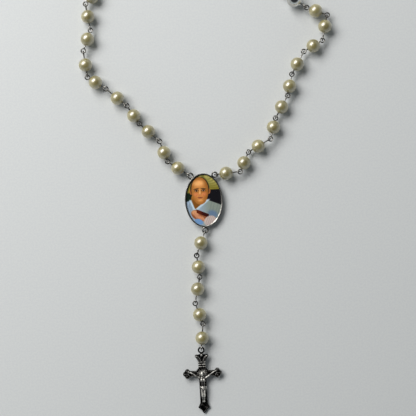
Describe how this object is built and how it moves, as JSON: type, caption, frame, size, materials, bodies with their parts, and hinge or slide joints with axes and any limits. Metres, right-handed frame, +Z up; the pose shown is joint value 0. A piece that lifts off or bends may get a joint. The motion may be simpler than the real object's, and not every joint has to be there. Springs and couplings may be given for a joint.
{
  "type": "rosary",
  "caption": "Pearl-bead rosary on linked silver eye pins, with a domed oval portrait medal and an oxidised-silver crucifix, laid flat.",
  "frame": {"origin": "middle of the oval medal's flat back, on the surface that the rosary lies on", "axes": "+Z up, out of the surface; +Y along the medal's long axis from the loop that carries the crucifix pendant to its two upper loops; +X to the right seen from above"},
  "size_m": [0.1741, 0.4442, 0.009],
  "materials": {
    "pearl": "lustrous pearl lacquer, ivory with an olive-gold depth",
    "wire": "bright silver-plated wire, slightly tarnished",
    "silver_bead": "polished silver plate",
    "medal_metal": "silver plate, satin wall and bright rim",
    "picture": "printed portrait picture",
    "dome": "clear glossy domed resin",
    "crucifix_metal": "oxidised antique silver, dark in the recesses and bright on the edges"
  },
  "bodies": {
    "medal": {"medal_frame": "medal_metal", "medal_picture": "picture", "medal_dome": "dome"},
    "left_pin_1": {"left_pin_1": "wire"},
    "left_pearl_1": {"left_pearl_1": "pearl"},
    "left_pin_2": {"left_pin_2": "wire"},
    "left_pearl_2": {"left_pearl_2": "pearl"},
    "left_pin_3": {"left_pin_3": "wire"},
    "left_pearl_3": {"left_pearl_3": "pearl"},
    "left_pin_4": {"left_pin_4": "wire"},
    "left_pearl_4": {"left_pearl_4": "pearl"},
    "left_pin_5": {"left_pin_5": "wire"},
    "left_pearl_5": {"left_pearl_5": "pearl"},
    "left_pin_6": {"left_pin_6": "wire"},
    "left_pearl_6": {"left_pearl_6": "pearl"},
    "left_pin_7": {"left_pin_7": "wire"},
    "left_pearl_7": {"left_pearl_7": "pearl"},
    "left_pin_8": {"left_pin_8": "wire"},
    "left_pearl_8": {"left_pearl_8": "pearl"},
    "left_pin_9": {"left_pin_9": "wire"},
    "left_pearl_9": {"left_pearl_9": "pearl"},
    "left_pin_10": {"left_pin_10": "wire"},
    "left_pearl_10": {"left_pearl_10": "pearl"},
    "right_pin_1": {"right_pin_1": "wire"},
    "right_pearl_1": {"right_pearl_1": "pearl"},
    "right_pin_2": {"right_pin_2": "wire"},
    "right_pearl_2": {"right_pearl_2": "pearl"},
    "right_pin_3": {"right_pin_3": "wire"},
    "right_pearl_3": {"right_pearl_3": "pearl"},
    "right_pin_4": {"right_pin_4": "wire"},
    "right_pearl_4": {"right_pearl_4": "pearl"},
    "right_pin_5": {"right_pin_5": "wire"},
    "right_pearl_5": {"right_pearl_5": "pearl"},
    "right_pin_6": {"right_pin_6": "wire"},
    "right_pearl_6": {"right_pearl_6": "pearl"},
    "right_pin_7": {"right_pin_7": "wire"},
    "right_pearl_7": {"right_pearl_7": "pearl"},
    "right_pin_8": {"right_pin_8": "wire"},
    "right_pearl_8": {"right_pearl_8": "pearl"},
    "right_pin_9": {"right_pin_9": "wire"},
    "right_pearl_9": {"right_pearl_9": "pearl"},
    "right_pin_10": {"right_pin_10": "wire"},
    "right_pearl_10": {"right_pearl_10": "pearl"},
    "pendant_pin_1": {"pendant_pin_1": "wire"},
    "pendant_pearl_1": {"pendant_pearl_1": "pearl"},
    "pendant_pin_2": {"pendant_pin_2": "wire"},
    "pendant_pearl_2": {"pendant_pearl_2": "pearl"},
    "pendant_pin_3": {"pendant_pin_3": "wire"},
    "pendant_pearl_3": {"pendant_pearl_3": "pearl"},
    "pendant_pin_4": {"pendant_pin_4": "wire"},
    "pendant_pearl_4": {"pendant_pearl_4": "pearl"},
    "pendant_pin_5": {"pendant_pin_5": "wire"},
    "pendant_pearl_5": {"pendant_pearl_5": "pearl"},
    "crucifix": {"crucifix": "crucifix_metal"},
    "back_right": {"back_right_pins": "wire", "back_right_pearls": "pearl", "back_right_our_father_beads": "silver_bead"},
    "back_left": {"back_left_pins": "wire", "back_left_pearls": "pearl", "back_left_our_father_beads": "silver_bead"}
  },
  "joints": [
    {"name": "left_link_1_swing_up_and_down", "type": "hinge", "parent": "medal", "child": "left_pin_1", "pos_m": [-0.0086, 0.0158, 0.00334], "axis": [-0.5736, -0.8192, 0], "range_deg": [-60, 60]},
    {"name": "left_pearl_1_spin", "type": "hinge", "parent": "left_pin_1", "child": "left_pearl_1", "pos_m": [-0.01439, 0.01986, 0.004], "axis": [-0.8156, 0.5711, 0.0936], "continuous": true},
    {"name": "left_link_2_swing_sideways", "type": "hinge", "parent": "left_pin_1", "child": "left_pin_2", "pos_m": [-0.02032, 0.02416, 0.00427], "axis": [-0.0155, 0.0449, 0.9989], "range_deg": [-40, 60]},
    {"name": "left_pearl_2_spin", "type": "hinge", "parent": "left_pin_2", "child": "left_pearl_2", "pos_m": [-0.02218, 0.02954, 0.004], "axis": [-0.3252, 0.9445, -0.0475], "continuous": true},
    {"name": "left_link_3_swing_up_and_down", "type": "hinge", "parent": "left_pin_2", "child": "left_pin_3", "pos_m": [-0.02563, 0.03747, 0.004], "axis": [0.6947, 0.7193, 0], "range_deg": [-60, 60]},
    {"name": "left_pearl_3_spin", "type": "hinge", "parent": "left_pin_3", "child": "left_pearl_3", "pos_m": [-0.03088, 0.04255, 0.004], "axis": [-0.7193, 0.6947, 0], "continuous": true},
    {"name": "left_link_4_swing_sideways", "type": "hinge", "parent": "left_pin_3", "child": "left_pin_4", "pos_m": [-0.03602, 0.04758, 0.004], "axis": [0, 0, -1], "range_deg": [-60, 60]},
    {"name": "left_pearl_4_spin", "type": "hinge", "parent": "left_pin_4", "child": "left_pearl_4", "pos_m": [-0.03904, 0.05241, 0.004], "axis": [-0.5299, 0.848, 0], "continuous": true},
    {"name": "left_link_5_swing_up_and_down", "type": "hinge", "parent": "left_pin_4", "child": "left_pin_5", "pos_m": [-0.04403, 0.05961, 0.004], "axis": [-0.6691, -0.7431, 0], "range_deg": [-60, 60]},
    {"name": "left_pearl_5_spin", "type": "hinge", "parent": "left_pin_5", "child": "left_pearl_5", "pos_m": [-0.04826, 0.06342, 0.004], "axis": [-0.7431, 0.6691, 0], "continuous": true},
    {"name": "left_link_6_swing_sideways", "type": "hinge", "parent": "left_pin_5", "child": "left_pin_6", "pos_m": [-0.05482, 0.06929, 0.004], "axis": [0, 0, 1], "range_deg": [-60, 60]},
    {"name": "left_pearl_6_spin", "type": "hinge", "parent": "left_pin_6", "child": "left_pearl_6", "pos_m": [-0.0608, 0.07348, 0.004], "axis": [-0.8192, 0.5736, 0], "continuous": true},
    {"name": "left_link_7_swing_up_and_down", "type": "hinge", "parent": "left_pin_6", "child": "left_pin_7", "pos_m": [-0.06562, 0.07824, 0.004], "axis": [0.9945, 0.1045, 0], "range_deg": [-60, 60]},
    {"name": "left_pearl_7_spin", "type": "hinge", "parent": "left_pin_7", "child": "left_pearl_7", "pos_m": [-0.06624, 0.08411, 0.004], "axis": [-0.1045, 0.9945, 0], "continuous": true},
    {"name": "left_link_8_swing_sideways", "type": "hinge", "parent": "left_pin_7", "child": "left_pin_8", "pos_m": [-0.06704, 0.09264, 0.004], "axis": [0, 0, -1], "range_deg": [-60, 60]},
    {"name": "left_pearl_8_spin", "type": "hinge", "parent": "left_pin_8", "child": "left_pearl_8", "pos_m": [-0.06431, 0.09941, 0.004], "axis": [0.3746, 0.9272, 0], "continuous": true},
    {"name": "left_link_9_swing_up_and_down", "type": "hinge", "parent": "left_pin_8", "child": "left_pin_9", "pos_m": [-0.06238, 0.10618, 0.004], "axis": [-0.9903, -0.1392, 0], "range_deg": [-60, 60]},
    {"name": "left_pearl_9_spin", "type": "hinge", "parent": "left_pin_9", "child": "left_pearl_9", "pos_m": [-0.06331, 0.11282, 0.004], "axis": [-0.1392, 0.9903, 0], "continuous": true},
    {"name": "left_link_10_swing_sideways", "type": "hinge", "parent": "left_pin_9", "child": "left_pin_10", "pos_m": [-0.06423, 0.12049, 0.004], "axis": [0, 0, 1], "range_deg": [-30, 60]},
    {"name": "left_pearl_10_spin", "type": "hinge", "parent": "left_pin_10", "child": "left_pearl_10", "pos_m": [-0.0602, 0.12452, 0.004], "axis": [0.7071, 0.7071, 0], "continuous": true},
    {"name": "right_link_1_swing_up_and_down", "type": "hinge", "parent": "medal", "child": "right_pin_1", "pos_m": [0.00849, 0.01494, 0.00318], "axis": [-0.0698, 0.9976, 0], "range_deg": [-60, 60]},
    {"name": "right_pearl_1_spin", "type": "hinge", "parent": "right_pin_1", "child": "right_pearl_1", "pos_m": [0.01412, 0.01534, 0.004], "axis": [0.9872, 0.069, 0.1438], "continuous": true},
    {"name": "right_link_2_swing_sideways", "type": "hinge", "parent": "right_pin_1", "child": "right_pin_2", "pos_m": [0.02252, 0.01575, 0.00483], "axis": [-0.0619, -0.127, -0.99], "range_deg": [0, 25]},
    {"name": "right_pearl_2_spin", "type": "hinge", "parent": "right_pin_2", "child": "right_pearl_2", "pos_m": [0.02508, 0.021, 0.004], "axis": [0.434, 0.8898, -0.1413], "continuous": true},
    {"name": "right_link_3_swing_up_and_down", "type": "hinge", "parent": "right_pin_2", "child": "right_pin_3", "pos_m": [0.02913, 0.02782, 0.00325], "axis": [0.4695, -0.8829, 0], "range_deg": [-60, 60]},
    {"name": "right_pearl_3_spin", "type": "hinge", "parent": "right_pin_3", "child": "right_pearl_3", "pos_m": [0.03412, 0.03048, 0.004], "axis": [0.8753, 0.4654, 0.1314], "continuous": true},
    {"name": "right_link_4_swing_sideways", "type": "hinge", "parent": "right_pin_3", "child": "right_pin_4", "pos_m": [0.04159, 0.03429, 0.00473], "axis": [-0.0291, -0.0952, -0.995], "range_deg": [0, 25]},
    {"name": "right_pearl_4_spin", "type": "hinge", "parent": "right_pin_4", "child": "right_pearl_4", "pos_m": [0.04371, 0.04123, 0.004], "axis": [0.2909, 0.9516, -0.0995], "continuous": true},
    {"name": "right_link_5_swing_up_and_down", "type": "hinge", "parent": "right_pin_4", "child": "right_pin_5", "pos_m": [0.04593, 0.04759, 0.00371], "axis": [-0.8572, 0.515, 0], "range_deg": [-60, 60]},
    {"name": "right_pearl_5_spin", "type": "hinge", "parent": "right_pin_5", "child": "right_pearl_5", "pos_m": [0.04923, 0.05307, 0.004], "axis": [0.5145, 0.8563, 0.0453], "continuous": true},
    {"name": "right_link_6_swing_sideways", "type": "hinge", "parent": "right_pin_5", "child": "right_pin_6", "pos_m": [0.05324, 0.05965, 0.004], "axis": [0, 0, -1], "range_deg": [0, 25]},
    {"name": "right_pearl_6_spin", "type": "hinge", "parent": "right_pin_6", "child": "right_pearl_6", "pos_m": [0.05462, 0.06518, 0.004], "axis": [0.2419, 0.9703, 0], "continuous": true},
    {"name": "right_link_7_swing_up_and_down", "type": "hinge", "parent": "right_pin_6", "child": "right_pin_7", "pos_m": [0.05695, 0.0732, 0.004], "axis": [0.8572, -0.515, 0], "range_deg": [-60, 60]},
    {"name": "right_pearl_7_spin", "type": "hinge", "parent": "right_pin_7", "child": "right_pearl_7", "pos_m": [0.05989, 0.07809, 0.004], "axis": [0.515, 0.8572, 0], "continuous": true},
    {"name": "right_link_8_swing_sideways", "type": "hinge", "parent": "right_pin_7", "child": "right_pin_8", "pos_m": [0.06414, 0.08537, 0.004], "axis": [0, 0, -1], "range_deg": [0, 25]},
    {"name": "right_pearl_8_spin", "type": "hinge", "parent": "right_pin_8", "child": "right_pearl_8", "pos_m": [0.06997, 0.08846, 0.004], "axis": [0.8829, 0.4695, 0], "continuous": true},
    {"name": "right_link_9_swing_up_and_down", "type": "hinge", "parent": "right_pin_8", "child": "right_pin_9", "pos_m": [0.07587, 0.09254, 0.004], "axis": [-0.9744, 0.225, 0], "range_deg": [-60, 60]},
    {"name": "right_pearl_9_spin", "type": "hinge", "parent": "right_pin_9", "child": "right_pearl_9", "pos_m": [0.07751, 0.09965, 0.004], "axis": [0.225, 0.9744, 0], "continuous": true},
    {"name": "right_link_10_swing_sideways", "type": "hinge", "parent": "right_pin_9", "child": "right_pin_10", "pos_m": [0.07927, 0.1064, 0.004], "axis": [0, 0, -1], "range_deg": [0, 25]},
    {"name": "right_pearl_10_spin", "type": "hinge", "parent": "right_pin_10", "child": "right_pearl_10", "pos_m": [0.07255, 0.10925, 0.004], "axis": [-0.9205, 0.3907, 0], "continuous": true},
    {"name": "pendant_link_1_swing_up_and_down", "type": "hinge", "parent": "medal", "child": "pendant_pin_1", "pos_m": [-0.0006, -0.01938, 0.00335], "axis": [0.9272, -0.3746, 0], "range_deg": [-60, 60]},
    {"name": "pendant_pearl_1_spin", "type": "hinge", "parent": "pendant_pin_1", "child": "pendant_pearl_1", "pos_m": [-0.00302, -0.02538, 0.004], "axis": [-0.3727, -0.9225, 0.1006], "continuous": true},
    {"name": "pendant_link_2_swing_sideways", "type": "hinge", "parent": "pendant_pin_1", "child": "pendant_pin_2", "pos_m": [-0.00592, -0.03272, 0.00436], "axis": [0.0045, -0.052, 0.9986], "range_deg": [-60, 60]},
    {"name": "pendant_pearl_2_spin", "type": "hinge", "parent": "pendant_pin_2", "child": "pendant_pearl_2", "pos_m": [-0.00532, -0.03959, 0.004], "axis": [0.087, -0.9948, -0.0522], "continuous": true},
    {"name": "pendant_link_3_swing_up_and_down", "type": "hinge", "parent": "pendant_pin_2", "child": "pendant_pin_3", "pos_m": [-0.00511, -0.04707, 0.004], "axis": [-0.9744, 0.225, 0], "range_deg": [-60, 60]},
    {"name": "pendant_pearl_3_spin", "type": "hinge", "parent": "pendant_pin_3", "child": "pendant_pearl_3", "pos_m": [-0.00643, -0.05277, 0.004], "axis": [-0.225, -0.9744, 0], "continuous": true},
    {"name": "pendant_link_4_swing_sideways", "type": "hinge", "parent": "pendant_pin_3", "child": "pendant_pin_4", "pos_m": [-0.00828, -0.06114, 0.004], "axis": [0, 0, -1], "range_deg": [-60, 60]},
    {"name": "pendant_pearl_4_spin", "type": "hinge", "parent": "pendant_pin_4", "child": "pendant_pearl_4", "pos_m": [-0.00603, -0.06809, 0.004], "axis": [0.309, -0.9511, 0], "continuous": true},
    {"name": "pendant_link_5_swing_up_and_down", "type": "hinge", "parent": "pendant_pin_4", "child": "pendant_pin_5", "pos_m": [-0.00444, -0.07495, 0.004], "axis": [0.9925, -0.1219, 0], "range_deg": [-60, 60]},
    {"name": "pendant_pearl_5_spin", "type": "hinge", "parent": "pendant_pin_5", "child": "pendant_pearl_5", "pos_m": [-0.00531, -0.08204, 0.004], "axis": [-0.1219, -0.9925, 0], "continuous": true},
    {"name": "crucifix_swing_sideways", "type": "hinge", "parent": "pendant_pin_5", "child": "crucifix", "pos_m": [-0.00618, -0.08919, 0.00376], "axis": [-0.0007, -0.076, 0.9971], "range_deg": [-60, 60]},
    {"name": "back_right_swing_up_and_down", "type": "hinge", "parent": "right_pin_10", "child": "back_right", "pos_m": [0.06612, 0.11231, 0.00442], "axis": [0.5736, 0.8192, 0], "range_deg": [-60, 60]},
    {"name": "back_left_swing_up_and_down", "type": "hinge", "parent": "back_right", "child": "back_left", "pos_m": [0.02162, 0.31269, 0.004], "axis": [0.0335, 0.9994, 0], "range_deg": [-60, 60]}
  ]
}
